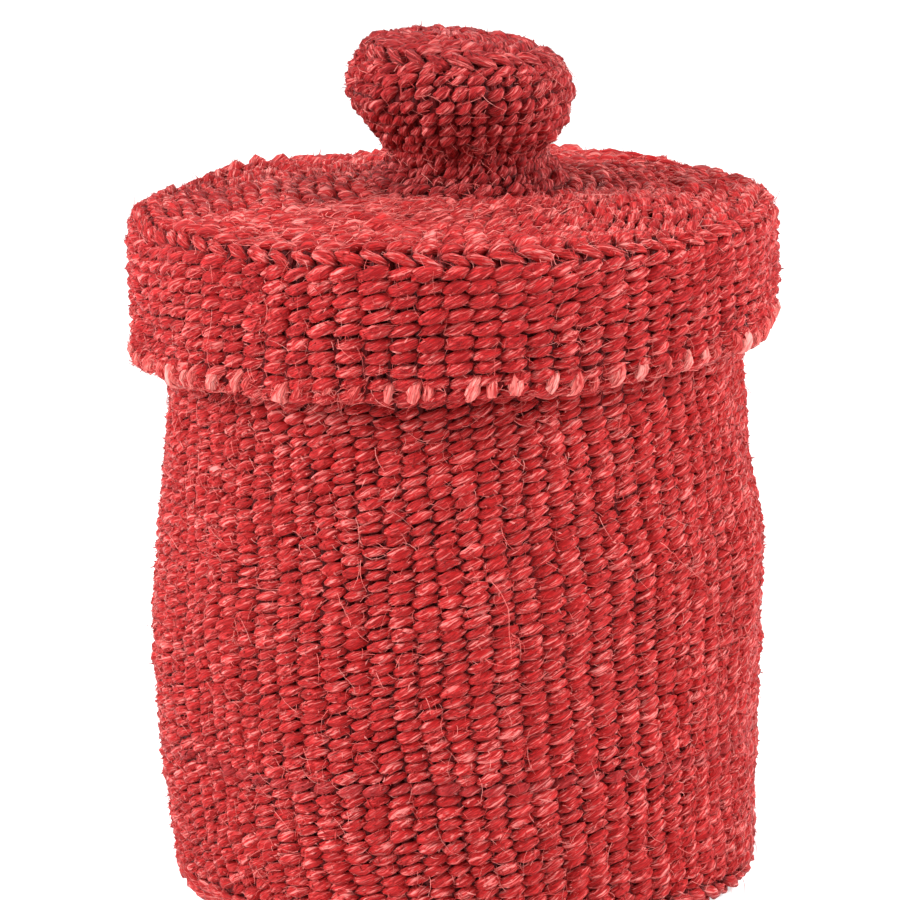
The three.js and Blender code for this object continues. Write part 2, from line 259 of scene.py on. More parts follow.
def twining_tree():
    """Rows of two strands that turn round each other once for every two warps, along a profile round the Z axis."""
    t = Tree("Twined rows")
    start = t.inputs(
        Rows=10, Columns=WARPS, Steps=6, Sides=8, Depth=1.9 * MM, Rise=0.9 * MM, Strand=1.5 * MM, Pinch=0.66,
        Overlap=0.08, Lumps=0.35 * MM, Lean=0.0, Uneven=0.15, Dull_Row=-1, Seed=1,
    )
    curve = t.add("GeometryNodeMeshToCurve", {"Mesh": start["Geometry"]}).outputs[0]
    rows = t.add("GeometryNodeCurveToPoints", {"Curve": curve, "Count": start["Rows"]}, mode="COUNT")
    points = t.store(rows.outputs["Points"], "way", rows.outputs["Tangent"], "FLOAT_VECTOR")
    points = t.store(points, "row", t.given("Index"), "INT")
    # The stations of each row's two strands, with the column, the turn and the stitch that each belongs to
    stations = t.times(start["Columns"], start["Steps"])
    strands, count = t.repeated(points, t.times(stations, 2.0))
    strand = t.math("FLOOR", t.math("DIVIDE", t.sum(count, 0.5), stations))
    station = t.math("SUBTRACT", count, t.times(strand, stations))
    column = t.math("DIVIDE", station, start["Steps"])
    turn = t.times(t.sum(column, strand), math.pi)
    row = t.named("row", "INT")
    nearest = t.math("FLOORED_MODULO", t.math("ROUND", column), start["Columns"])
    stitch = t.sum(t.times(row, ROW_STEP), nearest, t.times(strand, STRAND_STEP))
    # Up to half way round and back again, so that a row's streaks and tones meet where it closes
    half_round = t.times(start["Columns"], 0.5)
    wander = t.math("PINGPONG", t.sum(column, t.times(half_round, 0.5)), half_round)
    # Where a station goes: in and out, up and down, and round the axis
    seed = start["Seed"]
    uneven = start["Uneven"]
    across = t.math("COSINE", turn)
    face = t.math("ABSOLUTE", across)
    bulge = t.times(t.math("SIGN", across), t.math("POWER", face, DIVE))
    depth = t.times(start["Depth"], bulge, t.sum(1.0, t.times(uneven, t.chance(-1.0, 1.0, stitch, seed))))
    slip = t.times(t.chance(-1.0, 1.0, stitch, t.sum(seed, 2.0)), face, uneven, start["Strand"], SLIP)
    rise = t.sum(t.times(start["Rise"], t.math("SINE", turn)), slip)
    here = t.split(t.given("Position"))
    way = t.split(t.named("way", "FLOAT_VECTOR"))
    away = t.sum(t.times(way["Z"], depth), t.times(way["X"], rise))
    up = t.math("SUBTRACT", t.times(way["Z"], rise), t.times(way["X"], depth))
    radius = t.sum(here["X"], away)
    height = t.sum(here["Z"], up)
    shift = t.times(t.chance(-1.0, 1.0, row, t.sum(seed, 3.0)), ROW_SHIFT)
    nudge = t.times(t.chance(-1.0, 1.0, stitch, t.sum(seed, 4.0)), face, uneven, NUDGE)
    longer = t.times(start["Overlap"], t.math("SINE", turn))
    angle = t.times(t.sum(column, shift, nudge, longer), t.math("DIVIDE", TAU, start["Columns"]))
    lean = t.times(start["Lean"], t.math("DIVIDE", here["Z"], WALL_MOUTH_RADIUS * MM))
    angle = t.math("SUBTRACT", t.sum(angle, math.pi / 2), lean)
    place = t.join(t.times(radius, t.math("COSINE", angle)), t.times(radius, t.math("SINE", angle)), height)
    # How thick the strand is there, its tone and what else its finish and its nap need
    pinch = start["Pinch"]
    swell = t.sum(pinch, t.times(t.math("POWER", face, SWELL), t.math("SUBTRACT", FULL, pinch)))
    swell = t.times(swell, t.sum(1.0, t.times(uneven, FATNESS, t.chance(-1.0, 1.0, stitch, t.sum(seed, 5.0)))))
    strands = t.store(strands, "thick", t.times(swell, start["Strand"]))
    group = t.sum(t.times(row, 2.0), strand)
    yarn = t.join(t.times(wander, YARN_DRIFT), t.times(group, YARN_STEP), seed)
    yarn = t.add("ShaderNodeTexNoise", {"Vector": yarn, "Scale": 1.0, "Detail": 1.0}).outputs[0]
    single = t.times(t.math("SUBTRACT", t.chance(0.0, 1.0, stitch, t.sum(seed, 6.0)), 0.5), 0.5)
    strands = t.store(strands, "tone", t.sum(0.5, single, t.math("SUBTRACT", yarn, 0.5)))
    strands = t.store(strands, "dull", t.math("COMPARE", row, start["Dull Row"], 0.5))
    # crease: how far the strand has turned away from the front, which the finish darkens as painted shade
    strands = t.store(strands, "crease", t.math("SUBTRACT", 1.0, face))
    pitch = t.math("DIVIDE", t.times(here["X"], TAU), start["Columns"])
    along = t.sum(t.times(wander, pitch), t.times(row, ROW_ALONG), t.times(strand, STRAND_ALONG))
    strands = t.store(strands, "along", along)
    strands = t.store(strands, "strand_number", group, "INT")
    strands = t.store(strands, "station", station)
    level = t.math("MULTIPLY", way["X"], -1.0)
    out = t.join(t.times(way["Z"], t.math("COSINE", angle)), t.times(way["Z"], t.math("SINE", angle)), level)
    strands = t.store(strands, "outside", out, "FLOAT_VECTOR")
    # Closed curves through the stations, with a whole number of turns in each, and a section swept along them
    strands = t.strung(t.moved(strands, Position=place), "strand_number", "station")
    strands = t.add("GeometryNodeSetSplineCyclic", {"Geometry": strands, "Cyclic": True}).outputs[0]
    turns = t.math("ROUND", t.times(start["Columns"], TWIST / TAU))
    tilt = t.times(t.math("DIVIDE", t.named("station"), stations), turns, -TAU)
    strands = t.add("GeometryNodeSetCurveTilt", {"Curve": strands, "Tilt": tilt}).outputs[0]
    strands = t.store(strands, "course", t.given("Tangent"), "FLOAT_VECTOR")
    mesh = t.lumpy(t.swept(strands, start["Sides"], ribs=0.11), start["Lumps"], start["Seed"])
    t.finish(mesh, start["Material"])
    return t


def cord_tree():
    """Cords that follow a profile, side by side round the Z axis."""
    t = Tree("Warp cords")
    start = t.inputs(
        Columns=WARPS, Points=10, Sides=6, Cord=1.2 * MM, Slant=0.0, Taper=0.0, Spread=1.0, Lumps=0.0, Lean=0.0,
        Uneven=0.1, Seed=1,
    )
    seed = start["Seed"]
    uneven = start["Uneven"]
    points = t.store(start["Geometry"], "step", t.given("Index"))
    points = t.add("GeometryNodeMeshToPoints", {"Mesh": points}).outputs[0]
    cords, column = t.repeated(points, start["Columns"])
    part = t.math("DIVIDE", t.named("step"), t.math("SUBTRACT", start["Points"], 1.0))
    middle = t.math("SUBTRACT", 0.5, part)
    here = t.split(t.given("Position"))
    shift = t.times(t.chance(-1.0, 1.0, column, seed), uneven)
    slant = t.times(start["Slant"], middle, t.chance(0.2, 1.6, column, t.sum(seed, 7.0)))
    angle = t.times(t.sum(column, shift, slant), t.math("DIVIDE", TAU, start["Columns"]))
    lean = t.times(start["Lean"], t.math("DIVIDE", here["Z"], WALL_MOUTH_RADIUS * MM))
    angle = t.math("SUBTRACT", t.sum(angle, math.pi / 2), lean)
    drop = t.times(t.chance(-1.0, 1.0, column, t.sum(seed, 1.0)), uneven, start["Cord"])
    height = t.sum(here["Z"], drop)
    place = t.join(t.times(here["X"], t.math("COSINE", angle)), t.times(here["X"], t.math("SINE", angle)), height)
    thick = t.times(start["Cord"], t.sum(1.0, t.times(uneven, t.chance(-1.0, 1.0, column, t.sum(seed, 2.0)))))
    edge = t.times(t.math("ABSOLUTE", middle), 2.0)
    thick = t.times(thick, t.math("SUBTRACT", 1.0, t.times(start["Taper"], edge, edge, edge)))
    cords = t.store(cords, "thick", thick)
    tone = t.math("SUBTRACT", t.chance(0.0, 1.0, column, t.sum(seed, 3.0)), 0.5)
    cords = t.store(cords, "tone", t.sum(0.5, t.times(tone, start["Spread"])))
    cords = t.store(cords, "number", column, "INT")
    cords = t.store(cords, "along", t.sum(t.times(part, 12 * MM), t.times(column, CORD_ALONG)))
    cords = t.strung(t.moved(cords, Position=place), "number", "step")
    mesh = t.lumpy(t.swept(cords, start["Sides"], ribs=0.08), start["Lumps"], seed)
    t.finish(mesh, start["Material"])
    return t


def route_tree():
    """Cords that each follow a line of their own."""
    t = Tree("Cords on routes")
    start = t.inputs(Sides=8, Cord=1.5 * MM, Taper=0.0, Seed=1)
    curve = t.add("GeometryNodeMeshToCurve", {"Mesh": start["Geometry"]}).outputs[0]
    way = t.add("GeometryNodeSplineParameter").outputs
    number = t.add("GeometryNodeCurveOfPoint").outputs["Curve Index"]
    thin = t.math("SUBTRACT", 1.0, t.times(start["Taper"], way["Factor"]))
    curve = t.store(curve, "thick", t.times(start["Cord"], thin))
    curve = t.store(curve, "tone", t.chance(0.0, 1.0, number, start["Seed"]))
    curve = t.store(curve, "along", t.sum(way["Length"], t.times(number, CORD_ALONG)))
    t.finish(t.swept(curve, start["Sides"], ribs=0.06), start["Material"])
    return t


ROOT = 0.3 * MM  # how deep in the yarn a loose fibre starts
THINNING = 0.65  # how much of its thickness it has lost at its tip


def loose_fibre_tree():
    """Thin fibres that have sprung out of the yarn, scattered over a surface."""
    t = Tree("Loose fibres")
    start = t.inputs(
        Density=30000.0, Points=5, Shortest=2 * MM, Longest=8 * MM, Fibre=0.08 * MM, Lift=0.5, Curl=0.6, Seed=1,
    )
    seed = start["Seed"]
    patches = t.add("ShaderNodeTexNoise", {"Scale": 55.0, "Detail": 1.0}).outputs[0]
    values = {"Value": patches, "From Min": 0.38, "From Max": 0.66, "To Min": 0.25}
    patches = t.add("ShaderNodeMapRange", values).outputs[0]
    values = {"Mesh": start["Geometry"], "Density": t.times(start["Density"], patches), "Seed": seed}
    roots = t.add("GeometryNodeDistributePointsOnFaces", values, distribute_method="RANDOM")
    points = t.store(roots.outputs["Points"], "outward", roots.outputs["Normal"], "FLOAT_VECTOR")
    points = t.store(points, "hair", t.given("Index"), "INT")
    hairs, step = t.repeated(points, start["Points"])
    part = t.math("DIVIDE", step, t.math("SUBTRACT", start["Points"], 1.0))
    hair = t.named("hair", "INT")
    outward = t.named("outward", "FLOAT_VECTOR")
    along = t.vector("NORMALIZE", t.vector("CROSS_PRODUCT", outward, t.chance_way(hair, seed)))
    aside = t.vector("CROSS_PRODUCT", outward, along)
    reach = t.chance(0.0, 1.0, hair, t.sum(seed, 1.0))
    span = t.math("SUBTRACT", start["Longest"], start["Shortest"])
    length = t.sum(start["Shortest"], t.times(span, t.math("POWER", reach, 3.0)))
    lift = t.times(start["Lift"], t.chance(0.15, 1.0, hair, t.sum(seed, 2.0)))
    droop = t.times(lift, t.chance(0.2, 1.3, hair, t.sum(seed, 3.0)))
    curl = t.times(start["Curl"], t.chance(-1.0, 1.0, hair, t.sum(seed, 4.0)))
    square = t.times(part, part)
    place = t.vector("SCALE", along, scale=t.times(length, part))
    rise = t.math("SUBTRACT", t.times(lift, part), t.times(droop, square))
    rise = t.math("SUBTRACT", t.times(length, rise), ROOT)
    place = t.vector("ADD", place, t.vector("SCALE", outward, scale=rise))
    place = t.vector("ADD", place, t.vector("SCALE", aside, scale=t.times(length, curl, square)))
    place = t.vector("ADD", t.given("Position"), place)
    taper = t.math("SUBTRACT", 1.0, t.times(part, THINNING))
    thick = t.times(start["Fibre"], taper, t.chance(0.6, 1.25, hair, t.sum(seed, 5.0)))
    hairs = t.store(hairs, "thick", thick)
    hairs = t.store(hairs, "tone", t.chance(0.0, 1.0, hair, t.sum(seed, 6.0)))
    hairs = t.store(hairs, "step", step)
    hairs = t.strung(t.moved(hairs, Position=place), "hair", "step")
    t.finish(t.swept(hairs, 3), start["Material"])
    return t


# A flake of the nap
FLAKE_FACING = 0.25  # how far the place it springs from has to face outwards
FLAKE_BACK = -0.45  # where it starts, in its own lengths along it from that place
FLAKE_OUT = 0.12 * MM  # and how far outwards
FLAKE_FOLD = -0.6  # how far its two sides fold back
FLAKE_LEAD = 0.52  # how far they reach ahead of its middle


def nap_tree():
    """Short flakes of fibre that lie along the strands and have half sprung out of them."""
    t = Tree("Nap")
    start = t.inputs(
        Density=100000.0, Shortest=1.3 * MM, Longest=5 * MM, Fibre=0.22 * MM, Lift=0.45, Stray=0.95, Seed=1,
    )
    seed = start["Seed"]
    outside = t.named("outside", "FLOAT_VECTOR")
    facing = t.vector("DOT_PRODUCT", t.given("Normal"), outside)
    chosen = t.math("GREATER_THAN", facing, FLAKE_FACING)
    values = {"Mesh": start["Geometry"], "Selection": chosen, "Density": start["Density"], "Seed": seed}
    roots = t.add("GeometryNodeDistributePointsOnFaces", values, distribute_method="RANDOM")
    number = t.given("Index")
    stray = t.chance_way(number, seed)
    sign = t.math("SIGN", t.chance(-1.0, 1.0, number, t.sum(seed, 1.0)))
    way = t.vector("SCALE", t.named("course", "FLOAT_VECTOR"), scale=sign)
    way = t.vector("ADD", way, t.vector("SCALE", stray, scale=start["Stray"]))
    lift = t.times(start["Lift"], t.chance(-0.4, 1.0, number, t.sum(seed, 3.0)))
    way = t.vector("NORMALIZE", t.vector("ADD", way, t.vector("SCALE", outside, scale=lift)))
    reach = t.chance(0.0, 1.0, number, t.sum(seed, 2.0))
    span = t.math("SUBTRACT", start["Longest"], start["Shortest"])
    length = t.sum(start["Shortest"], t.times(span, reach, reach, reach))
    thick = t.times(start["Fibre"], t.chance(0.6, 1.5, number, t.sum(seed, 4.0)))
    tone = t.sum(t.times(t.named("tone"), 0.5), t.chance(-1.0, 1.3, number, t.sum(seed, 5.0)))
    points = t.store(roots.outputs["Points"], "flake_way", way, "FLOAT_VECTOR")
    points = t.store(points, "flake_size", t.join(thick, thick, length), "FLOAT_VECTOR")
    points = t.store(points, "tone", tone)
    points = t.store(points, "crease", 0.0)
    back = t.vector("SCALE", way, scale=t.times(length, FLAKE_BACK))
    offset = t.vector("ADD", back, t.vector("SCALE", outside, scale=FLAKE_OUT))
    points = t.moved(points, Offset=offset)
    values = {"Vertices": 3, "Side Segments": 1, "Fill Segments": 1}
    values |= {"Radius Top": 0.0, "Radius Bottom": 1.0, "Depth": 1.0}
    flake = t.add("GeometryNodeMeshCone", values, fill_type="NGON").outputs["Mesh"]
    corner = t.split(t.given("Position"))
    side = t.math("ABSOLUTE", corner["Y"])
    place = t.join(t.times(side, FLAKE_FOLD), corner["Y"], t.sum(corner["Z"], t.times(side, FLAKE_LEAD)))
    flake = t.moved(flake, Position=place)
    inward = t.vector("SCALE", outside, scale=-1.0)
    values = {"Primary Axis": t.named("flake_way", "FLOAT_VECTOR"), "Secondary Axis": inward}
    turn = t.add("FunctionNodeAxesToRotation", values, primary_axis="Z", secondary_axis="X").outputs[0]
    values = {"Points": points, "Instance": flake, "Rotation": turn, "Scale": t.named("flake_size", "FLOAT_VECTOR")}
    t.finish(t.add("GeometryNodeInstanceOnPoints", values).outputs[0], start["Material"])
    return t


DULL_RED = (0.25, 0.03, 0.035, 1)
# Painted shade for the thin grooves between the fibre bundles
GROOVE_SHADE_RED = (0.22, 0.002, 0.003, 1)
SHADE_RED = (0.05, 0.001, 0.002, 1)


def fibre_group():
    """The look of a strand of sisal: fine streaks along it, in colour and in height, with painted shade in the
    grooves between them and painted shade where it dives.
    """
    t = Tree("Sisal fibres", "ShaderNodeTree")
    t.socket("Deep", "Color", (0.2, 0.01, 0.01, 1))
    t.socket("Middle", "Color", (0.5, 0.05, 0.05, 1))
    t.socket("Pale", "Color", (0.8, 0.2, 0.2, 1))
    t.socket("Spread", "Float", 0.1)
    t.socket("Color", "Color", output=True)
    t.socket("Height", "Float", output=True)
    t.socket("Roughness", "Float", output=True)
    start = t.add("NodeGroupInput").outputs

    def attribute(name):
        return t.add("ShaderNodeAttribute", attribute_name=name, attribute_type="GEOMETRY").outputs

    ring = t.split(attribute("ring")["Vector"])
    along = attribute("along")["Fac"]
    tone = attribute("tone")["Fac"]
    crease = attribute("crease")["Fac"]
    dull = attribute("dull")["Fac"]

    def streaks(round_scale, along_scale, detail, waver):
        place = t.join(t.times(ring["X"], round_scale), t.times(ring["Y"], round_scale), t.times(along, along_scale))
        values = {"Vector": place, "Scale": 1.0, "Detail": detail, "Roughness": 0.6, "Distortion": waver}
        return t.add("ShaderNodeTexNoise", values).outputs[0]

    def mix(factor, a, b):
        node = t.add("ShaderNodeMix", data_type="RGBA")
        t.put(node.inputs[0], factor)
        t.put(node.inputs[6], a)
        t.put(node.inputs[7], b)
        return node.outputs[2]

    def ramp(value, low, high, to_low=0.0, to_high=1.0):
        values = {"Value": value, "From Min": low, "From Max": high, "To Min": to_low, "To Max": to_high}
        return t.add("ShaderNodeMapRange", values, interpolation_type="SMOOTHSTEP").outputs[0]

    broad = streaks(round_scale=1.5, along_scale=210.0, detail=1.0, waver=0.4)
    fine = streaks(round_scale=3.4, along_scale=560.0, detail=1.5, waver=0.6)
    split = ramp(t.math("ABSOLUTE", t.math("SUBTRACT", broad, 0.5)), 0.0, 0.05)
    mixed = t.sum(t.times(broad, 0.3), t.times(fine, 0.5), t.times(split, 0.2))
    level = t.sum(t.times(broad, 0.38), t.times(fine, 0.62))
    level = t.sum(level, t.times(t.math("SUBTRACT", tone, 0.5), start["Spread"]))
    colour = mix(ramp(level, 0.38, 0.52), start["Deep"], start["Middle"])
    colour = mix(ramp(level, 0.51, 0.68), colour, start["Pale"])
    colour = mix(t.times(dull, 0.3), colour, DULL_RED)
    # Painted shade in the thin grooves between the fibre bundles; the same grooves also go into the bump
    colour = mix(t.times(t.math("SUBTRACT", 1.0, split), 0.4), colour, GROOVE_SHADE_RED)
    # Painted shade: the strand darkens towards SHADE_RED as it turns away to dive behind the warps
    colour = mix(ramp(crease, 0.45, 0.95, 0.0, 0.9), colour, SHADE_RED)
    rough = ramp(fine, 0.3, 0.7, 0.65, 0.42)
    t.add("NodeGroupOutput", {"Color": colour, "Height": mixed, "Roughness": rough})
    return t


def sisal(name, fibres, deep, middle, pale, spread=0.1, bump=1.0, sheen=0.1):
    """A sisal finish: the fibre streaks over a soft sheen."""
    material = bpy.data.materials.new(name)
    material.use_nodes = True
    tree = material.node_tree
    shader = tree.nodes["Principled BSDF"]
    group = tree.nodes.new("ShaderNodeGroup")
    group.node_tree = fibres.tree
    group.inputs["Deep"].default_value = (*deep, 1)
    group.inputs["Middle"].default_value = (*middle, 1)
    group.inputs["Pale"].default_value = (*pale, 1)
    group.inputs["Spread"].default_value = spread
    height = tree.nodes.new("ShaderNodeBump")
    height.inputs["Strength"].default_value = bump
    height.inputs["Distance"].default_value = 0.7 * MM
    tree.links.new(group.outputs["Height"], height.inputs["Height"])
    tree.links.new(height.outputs["Normal"], shader.inputs["Normal"])
    tree.links.new(group.outputs["Color"], shader.inputs["Base Color"])
    tree.links.new(group.outputs["Roughness"], shader.inputs["Roughness"])
    shader.inputs["Specular IOR Level"].default_value = 0.16
    shader.inputs["Sheen Weight"].default_value = sheen
    shader.inputs["Sheen Roughness"].default_value = 0.45
    shader.inputs["Sheen Tint"].default_value = (1.0, 0.62, 0.58, 1)
    material.diffuse_color = (*middle, 1)
    return material


def polyline(points):
    """A profile as a chain of edges in the plane y = 0, from [radius, height] in millimetres."""
    mesh = bpy.data.meshes.new("profile")
    vertices = [(r * MM, 0, z * MM) for r, z in points]
    mesh.from_pydata(vertices, [(i, i + 1) for i in range(len(vertices) - 1)], [])
    return mesh


def routes(lines):
    """Several open lines in one mesh, from lists of [x, y, z] in millimetres."""
    vertices = []
    edges = []
    for line in lines:
        first = len(vertices)
        vertices += [(x * MM, y * MM, z * MM) for x, y, z in line]
        edges += [(i, i + 1) for i in range(first, len(vertices) - 1)]
    mesh = bpy.data.meshes.new("routes")
    mesh.from_pydata(vertices, edges, [])
    return mesh


def turned(points, around=96):
    """A profile turned round the Z axis; listed from the bottom up, its faces point outwards."""
    angles = [TAU * i / around for i in range(around)]
    vertices = [(r * MM * math.cos(a), r * MM * math.sin(a), z * MM) for r, z in points for a in angles]
    faces = []
    for ring in range(len(points) - 1):
        for i in range(around):
            j = (i + 1) % around
            faces.append((ring * around + i, ring * around + j, (ring + 1) * around + j, (ring + 1) * around + i))
    mesh = bpy.data.meshes.new("turned")
    mesh.from_pydata(vertices, [], faces)
    return mesh


# The slow waves that hands leave in the work, and the leans and sags of the real one, in millimetres
WAVES = 30
waves = np.random.default_rng(7)
WAVE_LENGTHS = waves.uniform(9, 46, WAVES)
WAVE_WAYS = waves.normal(size=(WAVES, 3))
WAVE_WAYS = WAVE_WAYS / np.linalg.norm(WAVE_WAYS, axis=1)[:, None] * TAU / WAVE_LENGTHS[:, None]
WAVE_STARTS = waves.uniform(0, TAU, WAVES)
WAVE_HEIGHT = 0.0042  # of each wave, in its own lengths
WAVE_MOVES = waves.normal(size=(WAVES, 3)) * WAVE_HEIGHT * WAVE_LENGTHS[:, None]
LEFT_SAG = 1.6  # how far the rim and the lid sink at the left
WALL_BULGES = ((-1.4, 52, 20), (1.3, 5, 10), (0.7, 88, 12))  # to the right by how much, at what height, and its reach
LOWEST = 0.02  # no fibre goes below this
LID_EDGE_HANG = 34  # height over which the lid's edge is out of level
LID_SHOULDER = 169
KNOB_LEAN = 3.6  # how far the knob stands to the right at its foot


def step_between(value, low, high):
    """0 up to low and 1 from high on, with a smooth step between them."""
    t = np.clip((value - low) / (high - low), 0, 1)
    return t * t * (3 - 2 * t)


def swelling(value, middle, reach):
    """1 at the middle, dying away on both sides."""
    return np.exp(-(((value - middle) / reach) ** 2))


def hand_made(mesh, body):
    """Gives a mesh the uneven shape that hands leave: slow waves everywhere, and the leans that the real one has."""
    places = np.empty(len(mesh.vertices) * 3, dtype=np.float32)
    mesh.vertices.foreach_get("co", places)
    p = places.reshape(-1, 3).astype(np.float64) / MM
    moved = p.copy()
    for way, start, move in zip(WAVE_WAYS, WAVE_STARTS, WAVE_MOVES):
        moved += np.sin(p @ way + start)[:, None] * move
    lift = p[:, 2]
    radius = np.hypot(p[:, 0], p[:, 1])
    turn = np.arctan2(p[:, 1], p[:, 0])
    sag = LEFT_SAG * step_between(-p[:, 0], 25, 78)
    if body == "basket":
        for far, middle, reach in WALL_BULGES:
            moved[:, 0] += far * swelling(lift, middle, reach)
        moved[:, 0] += 0.9 * swelling(lift, 88, 14) * step_between(p[:, 0], 20, 70)
        moved[:, 2] = lift + (moved[:, 2] - lift) * np.clip(lift / 8, 0, 1) - sag * step_between(lift, 90, 166)
        moved[:, 2] = np.maximum(moved[:, 2], LOWEST)
    else:
        # The edge rises to the right and dips in front
        hang = np.clip((LID_SHOULDER - lift) / LID_EDGE_HANG, 0, 1)
        front = np.clip(-np.sin(turn), 0, 1) ** 2
        moved[:, 2] += hang * (2.8 + 2.3 * np.cos(turn) - 1.5 * front) - sag * step_between(radius, 30, 60)
        # The shoulder sinks at the back
        back = (1.8 + 0.5 * np.cos(turn)) * swelling(np.sin(turn), 0.5, 0.22)
        back += 1.1 * step_between(np.sin(turn), 0.8, 0.95)
        moved[:, 2] -= back * step_between(radius, 50, 74)
        # The right side is pressed in
        moved[:, 0] -= 1.1 * step_between(p[:, 0], 55, 80)
        # The crown slopes down to the right, and the knob leans
        moved[:, 2] -= (1.1 + 0.07 * p[:, 0]) * step_between(lift, 202, 210)
        knob_lean = KNOB_LEAN - 2.0 * step_between(lift, 185, 203) - 1.2 * step_between(lift, 204, 214)
        moved[:, 0] += knob_lean * (1 - step_between(radius, 24, 60)) * step_between(lift, 168, 174) + 0.4
    mesh.vertices.foreach_set("co", (moved * MM).astype(np.float32).ravel())


def outward(mesh):
    """Turns the faces outwards where the tree left them facing in."""
    mesh.calc_loop_triangles()
    corners = np.empty(len(mesh.loop_triangles) * 3, dtype=np.int32)
    mesh.loop_triangles.foreach_get("vertices", corners)
    places = np.empty(len(mesh.vertices) * 3, dtype=np.float32)
    mesh.vertices.foreach_get("co", places)
    a, b, c = places.reshape(-1, 3)[corners.reshape(-1, 3)].astype(np.float64).transpose(1, 0, 2)
    if np.einsum("ij,ij->i", a, np.cross(b, c)).sum() < 0:
        mesh.flip_normals()


# Attributes that only the trees need
WORKING = {
    "way", "row", "thick", "strand_number", "station", "step", "number", "outward", "hair", "tilt", "radius",
    "outside", "course", "flake_way", "flake_size",
}


def finished(name, mesh, body, slot, *nodes):
    """Makes a piece of a mesh: it rides on a body and stands for the nodes named; the slot is not used."""
    outward(mesh)
    for word in [a.name for a in mesh.attributes if a.name in WORKING]:
        mesh.attributes.remove(mesh.attributes[word])
    hand_made(mesh, body)
    piece = bpy.data.objects.new(name, mesh)
    bpy.context.scene.collection.objects.link(piece)
    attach(piece, body)
    if nodes:
        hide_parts(*nodes)


twining = twining_tree()
cords = cord_tree()
on_routes = route_tree()
loose_fibres = loose_fibre_tree()
nap_fibres = nap_tree()
fibres = fibre_group()

# The reds: deep, middle and pale in each
WALL_RED = sisal("wall_sisal", fibres, (0.31, 0.003, 0.004), (0.52, 0.015, 0.016), (0.84, 0.24, 0.22))
SKIRT_RED = sisal("skirt_sisal", fibres, (0.28, 0.002, 0.004), (0.52, 0.014, 0.016), (0.82, 0.22, 0.2))
LID_RED = sisal(
    "lid_top_sisal", fibres, (0.28, 0.003, 0.005), (0.53, 0.018, 0.019), (0.84, 0.26, 0.235), spread=0.2,
)
# Darker sisal for the lid top round the knob's neck: painted shade
LID_SHADE_RED = sisal(
    "lid_middle_shade_sisal", fibres, (0.22, 0.003, 0.004), (0.46, 0.014, 0.015), (0.78, 0.21, 0.19), spread=0.2,
)
# Darker sisal for the knob: painted shade on its sides under the overhang
KNOB_SHADE_RED = sisal("knob_shade_sisal", fibres, (0.18, 0.002, 0.004), (0.43, 0.013, 0.015), (0.78, 0.19, 0.175))
# Darker sisal for the knob's neck: painted shade under the knob
NECK_SHADE_RED = sisal("knob_neck_shade_sisal", fibres, (0.13, 0.002, 0.003), (0.34, 0.009, 0.011), (0.72, 0.16, 0.15))
CROWN_RED = sisal("crown_sisal", fibres, (0.16, 0.002, 0.004), (0.4, 0.012, 0.014), (0.73, 0.17, 0.155))
# The cords are real, but their near-black red is painted shade for the holes between the stitches
CORD_SHADE_RED = sisal(
    "cord_shade_sisal", fibres, (0.04, 0.001, 0.002), (0.1, 0.002, 0.003), (0.17, 0.004, 0.006), sheen=0.0,
)
END_PINK = sisal(
    "cord_end_sisal", fibres, (0.42, 0.016, 0.016), (0.8, 0.14, 0.125), (0.93, 0.34, 0.3), spread=0.16,
)
FIBRE_PINK = sisal(
    "loose_fibre_sisal", fibres, (0.5, 0.02, 0.02), (0.76, 0.1, 0.09), (0.93, 0.36, 0.32), spread=0.3, bump=0.0,
)

NAP_SEEDS = 200  # from a piece's seed to its nap's


def twined(
    name, profile, rows, body, slot, material, *nodes, columns=WARPS, depth=1.8, rise=0.8, strand=1.48, pinch=0.33,
    overlap=0.13, lumps=0.5, lean=0.0, uneven=0.26, steps=6, sides=8, dull=-1, nap=0, longest=4.0, flake=0.22, seed=1,
):
    """Rows of twining along a profile, and their nap if it has a density, as a piece of its own."""
    mesh = run_tree(
        twining, polyline(profile), name, Rows=rows, Columns=columns, Steps=steps, Sides=sides, Depth=depth * MM,
        Rise=rise * MM, Strand=strand * MM, Pinch=pinch, Overlap=overlap, Lumps=lumps * MM, Lean=lean, Uneven=uneven,
        Dull_Row=dull, Seed=seed, Material=material,
    )
    if nap:
        flakes = run_tree(
            nap_fibres, mesh.copy(), name + "_nap", Density=float(nap), Longest=longest * MM, Fibre=flake * MM,
            Seed=seed + NAP_SEEDS, Material=material,
        )
        finished(name + "_nap", flakes, body, slot)
    finished(name, mesh, body, slot, *nodes)


def corded(
    name, profile, body, slot, material, *nodes, columns=WARPS, cord=1.2, slant=0.0, taper=0.0, spread=1.0, lumps=0.0,
    lean=0.0, uneven=0.06, sides=6, seed=1,
):
    """Cords side by side round the axis, each along a profile."""
    mesh = run_tree(
        cords, polyline(profile), name, Columns=columns, Points=len(profile), Cord=cord * MM, Slant=slant,
        Taper=taper, Spread=spread, Lumps=lumps * MM, Lean=lean, Uneven=uneven, Sides=sides, Seed=seed,
        Material=material,
    )
    finished(name, mesh, body, slot, *nodes)


LAYER_RISE = 2.1  # from the middle of the lower layer of a crossed start to the upper one's
CORD_POINTS = 13


